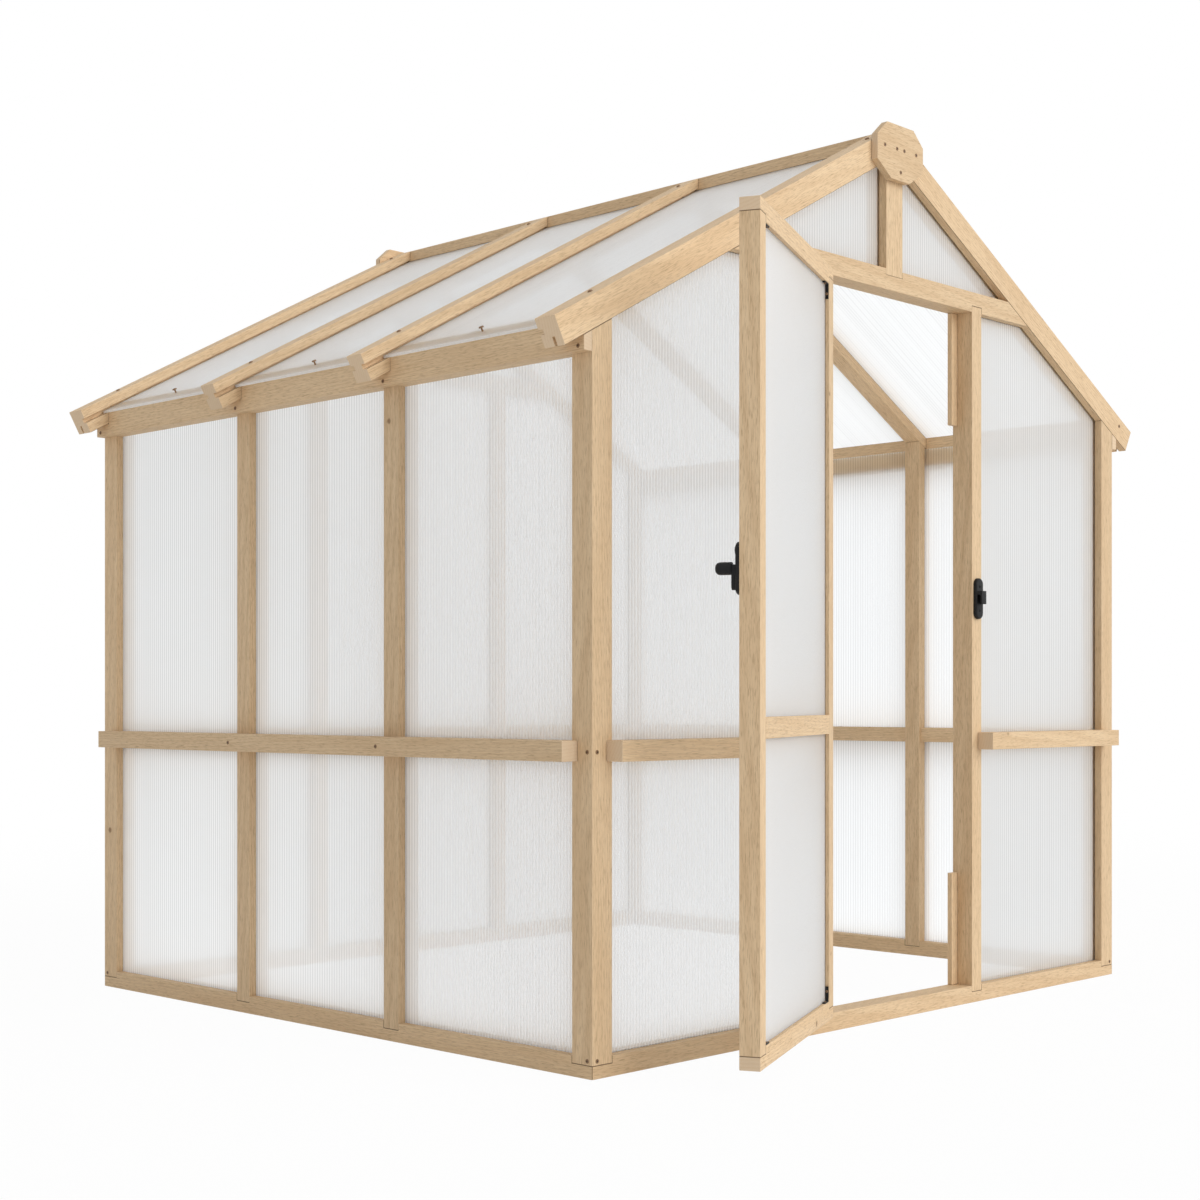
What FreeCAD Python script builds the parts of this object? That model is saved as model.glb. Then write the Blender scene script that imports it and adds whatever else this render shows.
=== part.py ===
import FreeCAD, Part
import math
import os

from FreeCAD import Vector

# Walk-in timber greenhouse: let-in frame, twin-wall sheets in grooves, gable roof and one hinged door.
# Millimetres, +Z up, +Y from the front to the back. The origin is the middle of the front base
# rail's underside. A depth is measured inward from an outer face of the frame, and a drop is
# measured square to the roof slope, down from the top of the rafters.

# Whole frame
frame_width = 2046.0
frame_depth = 1800.0
roof_pitch = 28.35
eave_tip_height = 1501.5
eave_overhang = 105.0

# Posts, rails and rafters
wall_thickness = 57.0
base_rail_height = 42.0
side_post_width = 50.0
side_post_spacing = 556.0
door_post_width = 42.0
king_post_width = 65.0
rafter_height = 62.0
ridge_board_thickness = 42.0
transom_above_eave_tip = 219.5
transom_height = 50.0
let_in = 15.0

# Middle rails, between the posts and outside them
mid_rail_bottom = 631.0
mid_rail_height = 42.0
mid_rail_depth = 48.0
outer_rail_depth = 44.0
outer_rail_lap = 16.0

# Eave beams
eave_beam_below_eave_tip = 56.5
eave_beam_outset = 23.0

# Twin-wall sheets and the grooves that hold them
sheet_thickness = 6.0
sheet_depth = 21.0
groove_depth = 12.0
groove_play = 0.5
edge_gap = 2.0
tongue_play = 0.25
rafter_slot_depth = 20.0
roof_sheet_drop = 28.0
roof_groove_headroom = 4.0
roof_sheet_overhang = 12.0
ridge_slot_depth = 8.0

# Gable plates
plate_thickness = 18.0
plate_width = 184.0
plate_height = 130.5
plate_top_flat = 105.0
plate_bottom_flat = 74.0
plate_side_low = 36.5
plate_side_high = 95.5
plate_rise = 10.0

# Door
door_opening_width = 661.0
door_side_gap = 3.0
door_bottom_gap = 3.0
door_top_gap = 5.0
door_thickness = 42.0
stile_width = 42.0
door_rail_height = 42.0
door_mid_rail_bottom = 679.0
door_sheet_recess = 10.0
door_open_angle = 155.0
door_spare_angle = 3.0
door_swing_clearance = 3.0

# Corner brackets of the door
bracket_leg = 34.0
bracket_thickness = 3.0
bracket_width = 7.0
bracket_sheet_gap = 1.5

# Door stops on the latch-side post
stop_width = 26.0
stop_thickness = 13.0
stop_length = 280.0
stop_clearance = 0.3

# Hinges
hinge_pin_radius = 3.0
hinge_pin_clearance = 0.05
hinge_barrel_radius = 6.5
hinge_pin_outset = 8.0
hinge_leaf_thickness = 3.0
hinge_leaf_reach = 30.0
hinge_leaf_height = 60.0
hinge_knuckle_gap = 0.3
hinge_end_distance = 215.0
hinge_pin_head = 2.0
hinge_pin_head_radius = 5.5

# Turning latch on the door and its keeper on the post
latch_height = 1007.0
latch_plate_width = 31.0
latch_plate_height = 102.0
latch_plate_thickness = 10.0
latch_plate_bevel = 2.5
latch_boss_radius = 10.0
latch_boss_height = 2.5
latch_boss_rise = 35.0
latch_boss_bevel = 1.5
latch_spindle_radius = 6.0
latch_spindle_clearance = 0.05
latch_arm_gap = 0.7
latch_arm_thickness = 8.6
latch_arm_width = 16.0
latch_arm_length = 42.0
latch_knob_radius = 12.5
latch_knob_reach = 52.5
latch_knob_rounding = 9.0
latch_knob_flats = 3
catch_lip = 3.6
catch_web = 8.0
catch_top = 10.0
catch_tail = 6.0
catch_clearance = 0.8
catch_end_clearance = 2.0

# Values that follow from the sizes above
half_width = frame_width / 2
front_y = -wall_thickness / 2
back_y = front_y + frame_depth
pitch = math.radians(roof_pitch)
slope = math.tan(pitch)
ridge_half = ridge_board_thickness / 2
king_half = king_post_width / 2
opening_half = door_opening_width / 2
door_post_outer = opening_half + door_post_width
post_foot = base_rail_height - let_in
eave_beam_bottom = eave_tip_height - eave_beam_below_eave_tip
transom_bottom = eave_tip_height + transom_above_eave_tip
transom_top = transom_bottom + transom_height
mid_rail_top = mid_rail_bottom + mid_rail_height
groove_outer = sheet_depth - groove_play
groove_inner = sheet_depth + sheet_thickness + groove_play
sheet_edge = groove_depth - edge_gap
roof_sheet_under = roof_sheet_drop + sheet_thickness
slot_sheet_drop = rafter_height - rafter_slot_depth + edge_gap
side_post_middle = front_y + frame_depth / 2

left = -1
right = 1
front = -1
back = 1


# Small builders used by every piece
def block(x_range, y_range, z_range):
    """Box between the two ends of each range, given in either order."""
    low = Vector(min(x_range), min(y_range), min(z_range))
    size_x = abs(x_range[1] - x_range[0])
    size_y = abs(y_range[1] - y_range[0])
    size_z = abs(z_range[1] - z_range[0])
    return Part.makeBox(size_x, size_y, size_z, low)


def prism(points, direction):
    """Solid swept from a closed outline along one direction."""
    outline = Part.makePolygon(points + [points[0]])
    return Part.Face(outline).extrude(direction)


def prism_along_y(outline, y_range):
    """Solid with an outline of (x, z) pairs, running along Y."""
    start = min(y_range)
    length = abs(y_range[1] - y_range[0])
    points = [Vector(x, start, z) for x, z in outline]
    return prism(points, Vector(0, length, 0))


def prism_along_z(outline, z_range):
    """Solid with an outline of (x, y) pairs, running along Z."""
    start = min(z_range)
    length = abs(z_range[1] - z_range[0])
    points = [Vector(x, y, start) for x, y in outline]
    return prism(points, Vector(0, 0, length))


def cylinder_y(radius, x, z, y_range):
    """Round bar along Y."""
    start = min(y_range)
    length = abs(y_range[1] - y_range[0])
    return Part.makeCylinder(radius, length, Vector(x, start, z), Vector(0, 1, 0))


def across(side, outer, inner):
    """X range between two depths from a side's outer face."""
    return (side * (half_width - outer), side * (half_width - inner))


def along(end, outer, inner):
    """Y range between two depths from the front or the back outer face."""
    if end == front:
        return (front_y + outer, front_y + inner)
    return (back_y - outer, back_y - inner)


def roof_height(reach, drop):
    """Height of a line parallel to the rafters' top, at a distance from the middle."""
    return eave_tip_height + (half_width + eave_overhang - reach) * slope - drop / math.cos(pitch)


def roof_reach(height, drop):
    """Distance from the middle at which a line parallel to the rafters' top has a height."""
    return half_width + eave_overhang - (height + drop / math.cos(pitch) - eave_tip_height) / slope


def slope_strip(side, low, high, drop_top, drop_bottom):
    """Outline of a strip along the slope, cut square at the low end and upright at the high end."""
    low_under = low - (drop_bottom - drop_top) * math.sin(pitch)
    return [
        (side * low, roof_height(low, drop_top)),
        (side * high, roof_height(high, drop_top)),
        (side * high, roof_height(high, drop_bottom)),
        (side * low_under, roof_height(low_under, drop_bottom)),
    ]


def export(node, solids):
    """Write one node from one solid or from a group of separate solids."""
    shape = solids[0].removeSplitter()
    if len(solids) > 1:
        shape = Part.makeCompound([solid.removeSplitter() for solid in solids])
    shape.exportStep("parts/" + node + ".step")


# Places that several pieces share
side_post_ranges = []
for step in (-1, 1):
    middle = side_post_middle + step * side_post_spacing / 2
    side_post_ranges.append((middle - side_post_width / 2, middle + side_post_width / 2))

corner_inner_front = along(front, 0, wall_thickness)[1]
corner_inner_back = along(back, 0, wall_thickness)[1]

# Clear bays of a side wall, front to back
side_bays = [
    (corner_inner_front, side_post_ranges[0][0]),
    (side_post_ranges[0][1], side_post_ranges[1][0]),
    (side_post_ranges[1][1], corner_inner_back),
]

# Clear bays of the front and back walls, left to right
end_bays = [
    (-(half_width - wall_thickness), -door_post_outer),
    (-opening_half, opening_half),
    (door_post_outer, half_width - wall_thickness),
]

os.makedirs("parts", exist_ok=True)
end_names = {front: "front", back: "back"}
side_names = {left: "left", right: "right"}


# Corner posts: cut to the rafter's slope at the top, grooved on the two faces that meet a wall
def corner_post(end, side):
    inner = half_width - wall_thickness
    outline = [
        (side * half_width, post_foot),
        (side * inner, post_foot),
        (side * inner, roof_height(inner, rafter_height)),
        (side * half_width, roof_height(half_width, rafter_height)),
    ]
    post = prism_along_y(outline, along(end, 0, wall_thickness))
    top = roof_height(inner, 0)
    end_groove = block(
        across(side, wall_thickness - groove_depth, wall_thickness),
        along(end, groove_outer, groove_inner),
        (post_foot, top),
    )
    side_groove = block(
        across(side, groove_outer, groove_inner),
        along(end, wall_thickness - groove_depth, wall_thickness),
        (post_foot, top),
    )
    return post.cut(end_groove).cut(side_groove)


# Side posts: one under each inner rafter, grooved on both faces along the wall
def side_post(side, y_range):
    inner = half_width - wall_thickness
    outline = [
        (side * half_width, post_foot),
        (side * inner, post_foot),
        (side * inner, roof_height(inner, rafter_height)),
        (side * half_width, roof_height(half_width, rafter_height)),
    ]
    post = prism_along_y(outline, y_range)
    top = roof_height(inner, 0)
    groove_x = across(side, groove_outer, groove_inner)
    near = block(groove_x, (y_range[0], y_range[0] + groove_depth), (post_foot, top))
    far = block(groove_x, (y_range[1] - groove_depth, y_range[1]), (post_foot, top))
    return post.cut(near).cut(far)


# Posts beside the doorway, and the same two posts in the back wall with grooves on both faces
def opening_post(end, side):
    x_range = (side * opening_half, side * door_post_outer)
    z_range = (post_foot, transom_bottom + let_in)
    post = block(x_range, along(end, 0, wall_thickness), z_range)
    groove_y = along(end, groove_outer, groove_inner)
    outer_x = (side * (door_post_outer - groove_depth), side * door_post_outer)
    post = post.cut(block(outer_x, groove_y, z_range))
    if end == back:
        inner_x = (side * opening_half, side * (opening_half + groove_depth))
        post = post.cut(block(inner_x, groove_y, z_range))
    return post


# Base rails: mitred at the corners, housed for every post and grooved for the lower sheets
def base_rail_end(end):
    outer_y, inner_y = along(end, 0, wall_thickness)
    inner_half = half_width - wall_thickness
    outline = [
        (-half_width, outer_y),
        (half_width, outer_y),
        (inner_half, inner_y),
        (-inner_half, inner_y),
    ]
    rail = prism_along_z(outline, (0, base_rail_height))
    housing_z = (post_foot, base_rail_height)
    for side in (left, right):
        rail = rail.cut(block(across(side, 0, wall_thickness), along(end, 0, wall_thickness), housing_z))
        post_x = (side * opening_half, side * door_post_outer)
        rail = rail.cut(block(post_x, along(end, 0, wall_thickness), housing_z))
    groove_z = (base_rail_height - groove_depth, base_rail_height)
    for bay in end_bays:
        if end == front and bay == end_bays[1]:
            continue
        rail = rail.cut(block(bay, along(end, groove_outer, groove_inner), groove_z))
    return rail


def base_rail_side(side):
    inner = side * (half_width - wall_thickness)
    outline = [
        (side * half_width, front_y),
        (side * half_width, back_y),
        (inner, corner_inner_back),
        (inner, corner_inner_front),
    ]
    rail = prism_along_z(outline, (0, base_rail_height))
    housing_z = (post_foot, base_rail_height)
    for end in (front, back):
        rail = rail.cut(block(across(side, 0, wall_thickness), along(end, 0, wall_thickness), housing_z))
    for y_range in side_post_ranges:
        rail = rail.cut(block(across(side, 0, wall_thickness), y_range, housing_z))
    groove_z = (base_rail_height - groove_depth, base_rail_height)
    for bay in side_bays:
        rail = rail.cut(block(across(side, groove_outer, groove_inner), bay, groove_z))
    return rail


# Transoms: over the doorway and across the back, their ends cut to the rafters' underside
def transom(end):
    low_reach = roof_reach(transom_bottom, rafter_height)
    high_reach = roof_reach(transom_top, rafter_height)
    outline = [
        (-low_reach, transom_bottom),
        (low_reach, transom_bottom),
        (high_reach, transom_top),
        (-high_reach, transom_top),
    ]
    beam = prism_along_y(outline, along(end, 0, wall_thickness))
    groove_y = along(end, groove_outer, groove_inner)
    under_z = (transom_bottom, transom_bottom + groove_depth)
    for side in (left, right):
        post_x = (side * opening_half, side * door_post_outer)
        housing_z = (transom_bottom, transom_bottom + let_in)
        beam = beam.cut(block(post_x, along(end, 0, wall_thickness), housing_z))
        beam = beam.cut(block((side * door_post_outer, side * half_width), groove_y, under_z))
        over_x = (side * king_half, side * half_width)
        beam = beam.cut(block(over_x, groove_y, (transom_top - groove_depth, transom_top)))
    if end == back:
        beam = beam.cut(block((-opening_half, opening_half), groove_y, under_z))
    king_z = (transom_top - let_in, transom_top)
    return beam.cut(block((-king_half, king_half), along(end, 0, wall_thickness), king_z))


# King posts: let into the transoms, their tops fitted under the rafters and the ridge board
def king_post(end):
    foot = transom_top - let_in
    shoulder = roof_height(king_half, rafter_height)
    crown = roof_height(ridge_half, rafter_height)
    outline = [
        (-king_half, foot),
        (king_half, foot),
        (king_half, shoulder),
        (ridge_half, crown),
        (-ridge_half, crown),
        (-king_half, shoulder),
    ]
    post = prism_along_y(outline, along(end, 0, wall_thickness))
    groove_y = along(end, groove_outer, groove_inner)
    for side in (left, right):
        groove_x = (side * (king_half - groove_depth), side * king_half)
        post = post.cut(block(groove_x, groove_y, (foot, crown)))
    return post


# Rafters: grooved in their sides for the roof sheets, the gable ones slotted underneath as well
def rafter_outline(side):
    return slope_strip(side, half_width + eave_overhang, ridge_half, 0, rafter_height)


def roof_groove(side, y_range):
    low = half_width + eave_overhang + wall_thickness
    drop_low = roof_sheet_under + groove_play
    drop_high = roof_sheet_drop - groove_play - roof_groove_headroom
    outline = slope_strip(side, low, ridge_half, drop_high, drop_low)
    return prism_along_y(outline, y_range)


def gable_rafter(end, side):
    rafter = prism_along_y(rafter_outline(side), along(end, 0, wall_thickness))
    rafter = rafter.cut(roof_groove(side, along(end, wall_thickness - groove_depth, wall_thickness)))
    low = half_width + eave_overhang + wall_thickness
    slot = slope_strip(side, low, ridge_half, rafter_height - rafter_slot_depth, rafter_height)
    return rafter.cut(prism_along_y(slot, along(end, groove_outer, groove_inner)))


def mid_rafter(side, y_range):
    rafter = prism_along_y(rafter_outline(side), y_range)
    rafter = rafter.cut(roof_groove(side, (y_range[0], y_range[0] + groove_depth)))
    return rafter.cut(roof_groove(side, (y_range[1] - groove_depth, y_range[1])))


# Ridge board: the rafters butt against it and the roof sheets run into its side slots
def ridge_board():
    bottom = roof_height(ridge_half, rafter_height)
    top = roof_height(ridge_half, 0)
    board = block((-ridge_half, ridge_half), (front_y, back_y), (bottom, top))
    slot_bottom = ridge_half - ridge_slot_depth
    for side in (left, right):
        low = ridge_half + wall_thickness
        drop_low = roof_sheet_under + groove_play
        outline = slope_strip(side, low, slot_bottom, roof_sheet_drop - groove_play, drop_low)
        y_range = (corner_inner_front - groove_depth, corner_inner_back + groove_depth)
        board = board.cut(prism_along_y(outline, y_range))
    return board


# Eave beams: boards outside the wall sheets, notched round the posts and under the rafters
def eave_beam(side):
    outer = half_width + eave_beam_outset
    inner = half_width - groove_outer
    outline = [
        (side * outer, eave_beam_bottom),
        (side * inner, eave_beam_bottom),
        (side * inner, roof_height(inner, roof_sheet_under)),
        (side * outer, roof_height(outer, roof_sheet_under)),
    ]
    beam = prism_along_y(outline, (front_y, back_y))
    post_x = across(side, 0, wall_thickness)
    post_z = (eave_beam_bottom, roof_height(inner, 0))
    end_ranges = [along(front, 0, wall_thickness), along(back, 0, wall_thickness)]
    for y_range in end_ranges + side_post_ranges:
        beam = beam.cut(block(post_x, y_range, post_z))
        beam = beam.cut(prism_along_y(rafter_outline(side), y_range))
    return beam


# Gable plates: eight-sided boards over the joint of rafters, ridge board and king post
def gable_plate(end):
    top = roof_height(ridge_half, 0) + plate_rise
    bottom = top - plate_height
    half = plate_width / 2
    outline = [
        (-plate_bottom_flat / 2, bottom),
        (plate_bottom_flat / 2, bottom),
        (half, bottom + plate_side_low),
        (half, bottom + plate_side_high),
        (plate_top_flat / 2, top),
        (-plate_top_flat / 2, top),
        (-half, bottom + plate_side_high),
        (-half, bottom + plate_side_low),
    ]
    return prism_along_y(outline, along(end, -plate_thickness, 0))


# Middle rails between the posts: grooved above and below, with tongues in the posts' grooves
def mid_rail_side(side, bay):
    z_range = (mid_rail_bottom, mid_rail_top)
    rail = block(across(side, 0, mid_rail_depth), bay, z_range)
    tongue_x = across(side, groove_outer + tongue_play, groove_inner - tongue_play)
    reach = groove_depth - edge_gap
    rail = rail.fuse(block(tongue_x, (bay[0] - reach, bay[1] + reach), z_range))
    groove_x = across(side, groove_outer, groove_inner)
    groove_y = (bay[0] - reach, bay[1] + reach)
    rail = rail.cut(block(groove_x, groove_y, (mid_rail_bottom, mid_rail_bottom + groove_depth)))
    return rail.cut(block(groove_x, groove_y, (mid_rail_top - groove_depth, mid_rail_top)))


def mid_rail_end(end, bay):
    z_range = (mid_rail_bottom, mid_rail_top)
    rail = block(bay, along(end, 0, mid_rail_depth), z_range)
    tongue_y = along(end, groove_outer + tongue_play, groove_inner - tongue_play)
    reach = groove_depth - edge_gap
    groove_x = (bay[0] - reach, bay[1] + reach)
    rail = rail.fuse(block(groove_x, tongue_y, z_range))
    groove_y = along(end, groove_outer, groove_inner)
    rail = rail.cut(block(groove_x, groove_y, (mid_rail_bottom, mid_rail_bottom + groove_depth)))
    return rail.cut(block(groove_x, groove_y, (mid_rail_top - groove_depth, mid_rail_top)))


# Outer rails: lie on the outside of the posts and the middle rails, stopping short of the corners
corner_stop = wall_thickness - outer_rail_lap
hinge_x = -opening_half + door_side_gap / 2
hinge_y = front_y - hinge_pin_outset
widest_angle = math.radians(door_open_angle + door_spare_angle)
rail_face_beyond_pin = outer_rail_depth - hinge_pin_outset
swing_room = hinge_pin_outset - door_swing_clearance + rail_face_beyond_pin * math.cos(widest_angle)
left_rail_end = hinge_x + swing_room / math.sin(widest_angle)
outer_rail_z = (mid_rail_bottom, mid_rail_top)


def outer_rail_side(side):
    y_range = (front_y + corner_stop, back_y - corner_stop)
    return block(across(side, -outer_rail_depth, 0), y_range, outer_rail_z)


def outer_rail_end(end, x_range):
    return block(x_range, along(end, -outer_rail_depth, 0), outer_rail_z)


# Wall sheets: one below and one above the middle rail in each bay. The side ones run up behind
# the eave beam and stop just under the rafters
lower_sheet_z = (base_rail_height - groove_depth, mid_rail_bottom + sheet_edge)
upper_sheet_foot = mid_rail_top - groove_depth


def wall_sheets_side(side):
    sheets = []
    x_range = across(side, sheet_depth, sheet_depth + sheet_thickness)
    head = roof_height(half_width - sheet_depth, rafter_height) - edge_gap
    for bay in side_bays:
        y_range = (bay[0] - sheet_edge, bay[1] + sheet_edge)
        sheets.append(block(x_range, y_range, lower_sheet_z))
        sheets.append(block(x_range, y_range, (upper_sheet_foot, head)))
    return sheets


def wall_sheets_end(end):
    sheets = []
    y_range = along(end, sheet_depth, sheet_depth + sheet_thickness)
    head = transom_bottom + sheet_edge
    for side in (left, right):
        near = door_post_outer - sheet_edge
        far = half_width - wall_thickness + sheet_edge
        sheets.append(block((side * near, side * far), y_range, lower_sheet_z))
        shoulder = roof_reach(head, slot_sheet_drop)
        outline = [
            (side * far, upper_sheet_foot),
            (side * near, upper_sheet_foot),
            (side * near, head),
            (side * shoulder, head),
            (side * far, roof_height(far, slot_sheet_drop)),
        ]
        sheets.append(prism_along_y(outline, y_range))
    if end == back:
        x_range = (-opening_half - sheet_edge, opening_half + sheet_edge)
        sheets.append(block(x_range, y_range, lower_sheet_z))
        sheets.append(block(x_range, y_range, (upper_sheet_foot, head)))
    return sheets


# Gable sheets: a triangle on each side of the king post
def gable_sheets(end):
    sheets = []
    y_range = along(end, sheet_depth, sheet_depth + sheet_thickness)
    foot = transom_top - groove_depth
    near = king_half - sheet_edge
    for side in (left, right):
        outline = [
            (side * near, foot),
            (side * near, roof_height(near, slot_sheet_drop)),
            (side * roof_reach(foot, slot_sheet_drop), foot),
        ]
        sheets.append(prism_along_y(outline, y_range))
    return sheets


# Roof sheets: slide in the rafters' grooves and rest on the eave beam
def roof_sheets(side):
    sheets = []
    low = half_width + eave_beam_outset + roof_sheet_overhang
    high = ridge_half - ridge_slot_depth + edge_gap
    outline = slope_strip(side, low, high, roof_sheet_drop, roof_sheet_under)
    for bay in side_bays:
        sheets.append(prism_along_y(outline, (bay[0] - sheet_edge, bay[1] + sheet_edge)))
    return sheets


# Door, drawn closed and then swung open about its hinge pins
door_left = -opening_half + door_side_gap
door_right = opening_half - door_side_gap
door_bottom = base_rail_height + door_bottom_gap
door_top = transom_bottom - door_top_gap
door_y = along(front, 0, door_thickness)
door_sheet_depth = door_thickness - door_sheet_recess - sheet_thickness
door_sheet_y = along(front, door_sheet_depth, door_sheet_depth + sheet_thickness)
door_groove_y = along(
    front,
    door_sheet_depth - groove_play,
    door_sheet_depth + sheet_thickness + groove_play,
)
door_tongue_y = along(
    front,
    door_sheet_depth - groove_play + tongue_play,
    door_sheet_depth + sheet_thickness + groove_play - tongue_play,
)
door_inner_left = door_left + stile_width
door_inner_right = door_right - stile_width
door_inner_bottom = door_bottom + door_rail_height
door_inner_top = door_top - door_rail_height
door_mid_rail_top = door_mid_rail_bottom + door_rail_height
stile_z = (door_inner_bottom - let_in, door_inner_top + let_in)


def open_door(shape):
    """Turn a piece of the closed door to the open position."""
    shape.rotate(Vector(hinge_x, hinge_y, 0), Vector(0, 0, 1), -door_open_angle)
    return shape


def door_stile(x_range, groove_x):
    return block(x_range, door_y, stile_z).cut(block(groove_x, door_groove_y, stile_z))


def door_end_rail(z_range, inner_z, inward):
    rail = block((door_left, door_right), door_y, z_range)
    housing_z = (inner_z, inner_z - inward * let_in)
    rail = rail.cut(block((door_left, door_inner_left), door_y, housing_z))
    rail = rail.cut(block((door_inner_right, door_right), door_y, housing_z))
    groove_z = (inner_z, inner_z - inward * groove_depth)
    return rail.cut(block((door_inner_left, door_inner_right), door_groove_y, groove_z))


def door_mid_rail():
    z_range = (door_mid_rail_bottom, door_mid_rail_top)
    rail = block((door_inner_left, door_inner_right), door_y, z_range)
    tongue_x = (door_inner_left - sheet_edge, door_inner_right + sheet_edge)
    rail = rail.fuse(block(tongue_x, door_tongue_y, z_range))
    under_z = (door_mid_rail_bottom, door_mid_rail_bottom + groove_depth)
    over_z = (door_mid_rail_top - groove_depth, door_mid_rail_top)
    rail = rail.cut(block(tongue_x, door_groove_y, under_z))
    return rail.cut(block(tongue_x, door_groove_y, over_z))


def door_sheets():
    x_range = (door_inner_left - sheet_edge, door_inner_right + sheet_edge)
    lower_z = (door_inner_bottom - groove_depth, door_mid_rail_bottom + sheet_edge)
    upper_z = (door_mid_rail_top - groove_depth, door_inner_top + sheet_edge)
    return [block(x_range, door_sheet_y, lower_z), block(x_range, door_sheet_y, upper_z)]


def corner_brackets():
    start = door_sheet_depth + sheet_thickness + bracket_sheet_gap
    y_range = along(front, start, start + bracket_width)
    brackets = []
    for x, turn_x in ((door_inner_left, 1), (door_inner_right, -1)):
        for z, turn_z in ((door_inner_bottom, 1), (door_inner_top, -1)):
            outline = [
                (x, z),
                (x + turn_x * bracket_leg, z),
                (x + turn_x * bracket_leg, z + turn_z * bracket_thickness),
                (x + turn_x * bracket_thickness, z + turn_z * bracket_thickness),
                (x + turn_x * bracket_thickness, z + turn_z * bracket_leg),
                (x, z + turn_z * bracket_leg),
            ]
            brackets.append(prism_along_y(outline, y_range))
    return brackets


# Hinges: the post's leaf carries the two outer knuckles and the pin, the door's leaf the middle one
hinge_levels = [door_bottom + hinge_end_distance, door_top - hinge_end_distance]
knuckle = hinge_leaf_height / 3


def hinge_leaf(level, turn, knuckle_ranges):
    face_y = along(front, -hinge_leaf_thickness, 0)
    low = level - hinge_leaf_height / 2
    plate_start = hinge_barrel_radius + 1
    plate_x = (hinge_x + turn * plate_start, hinge_x + turn * hinge_leaf_reach)
    leaf = block(plate_x, face_y, (low, low + hinge_leaf_height))
    bores = []
    for start, stop in knuckle_ranges:
        z_range = (low + start, low + stop)
        leaf = leaf.fuse(block((hinge_x, hinge_x + turn * plate_start), face_y, z_range))
        foot = Vector(hinge_x, hinge_y, z_range[0])
        leaf = leaf.fuse(Part.makeCylinder(hinge_barrel_radius, stop - start, foot))
        bore_radius = hinge_pin_radius + hinge_pin_clearance
        bores.append(Part.makeCylinder(bore_radius, stop - start, foot))
    for bore in bores:
        leaf = leaf.cut(bore)
    return leaf


def hinge_pin(level):
    foot = Vector(hinge_x, hinge_y, level - hinge_leaf_height / 2)
    pin = Part.makeCylinder(hinge_pin_radius, hinge_leaf_height, foot)
    head = Part.makeCylinder(
        hinge_pin_head_radius,
        hinge_pin_head,
        Vector(hinge_x, hinge_y, level + hinge_leaf_height / 2),
    )
    return pin.fuse(head)


# Door stops: two short battens inside the latch-side post, just behind the closed door
def door_stops():
    x_range = (opening_half - stop_width, opening_half)
    start = door_thickness + stop_clearance
    y_range = along(front, start, start + stop_thickness)
    lower = block(x_range, y_range, (base_rail_height, base_rail_height + stop_length))
    upper = block(x_range, y_range, (transom_bottom - stop_length, transom_bottom))
    return [lower, upper]


# Turning latch: a round-ended plate on the door and a knob with an arm that swings behind a catch
def round_ended(x, z, width, height, y_range):
    """Upright plate with half-round ends, centred on x and z."""
    radius = width / 2
    straight = height / 2 - radius
    plate = block((x - radius, x + radius), y_range, (z - straight, z + straight))
    plate = plate.fuse(cylinder_y(radius, x, z + straight, y_range))
    return plate.fuse(cylinder_y(radius, x, z - straight, y_range)).removeSplitter()


latch_x = door_right - stile_width / 2
latch_plate_face = -latch_plate_thickness
latch_arm_back = latch_plate_face - latch_arm_gap
latch_arm_face = latch_arm_back - latch_arm_thickness


def bevel_face_edges(solid, width):
    """Bevel the edges of a piece's outermost flat face, the one that lies furthest forward."""
    face = min(solid.Faces, key=lambda candidate: candidate.BoundBox.YMax)
    return solid.makeChamfer(width, face.Edges)


def bevelled_plate(x):
    y_range = along(front, latch_plate_face, 0)
    plate = round_ended(x, latch_height, latch_plate_width, latch_plate_height, y_range)
    return bevel_face_edges(plate, latch_plate_bevel)


def latch_plate():
    boss_z = latch_height + latch_boss_rise
    boss_y = along(front, latch_plate_face - latch_boss_height, latch_plate_face)
    boss = cylinder_y(latch_boss_radius, latch_x, boss_z, boss_y)
    plate = bevelled_plate(latch_x).fuse(bevel_face_edges(boss, latch_boss_bevel))
    bore_radius = latch_spindle_radius + latch_spindle_clearance
    return plate.cut(cylinder_y(bore_radius, latch_x, latch_height, along(front, latch_plate_face, 0)))


def latch_grip():
    """Turned grip: a round bar with its outer end rounded over in a few flats."""
    profile = [(0, latch_arm_face), (latch_knob_radius, latch_arm_face)]
    for step in range(latch_knob_flats + 1):
        turn = math.radians(90 * step / latch_knob_flats)
        inset = latch_knob_rounding * (1 - math.cos(turn))
        outset = latch_knob_rounding * (1 - math.sin(turn)) - latch_knob_reach
        profile.append((latch_knob_radius - inset, outset))
    profile.append((0, -latch_knob_reach))
    points = [Vector(latch_x + out, front_y + depth, latch_height) for out, depth in profile]
    face = Part.Face(Part.makePolygon(points + points[:1]))
    return face.revolve(Vector(latch_x, front_y, latch_height), Vector(0, 1, 0), 360)


def latch_knob():
    arm_y = along(front, latch_arm_face, latch_arm_back)
    half = latch_arm_width / 2
    arm_height = latch_arm_length + half
    arm_middle = latch_height - (latch_arm_length - half) / 2
    knob = round_ended(latch_x, arm_middle, latch_arm_width, arm_height, arm_y)
    spindle_y = along(front, latch_arm_back, -latch_arm_gap)
    knob = knob.fuse(cylinder_y(latch_spindle_radius, latch_x, latch_height, spindle_y))
    return knob.fuse(latch_grip())


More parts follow.
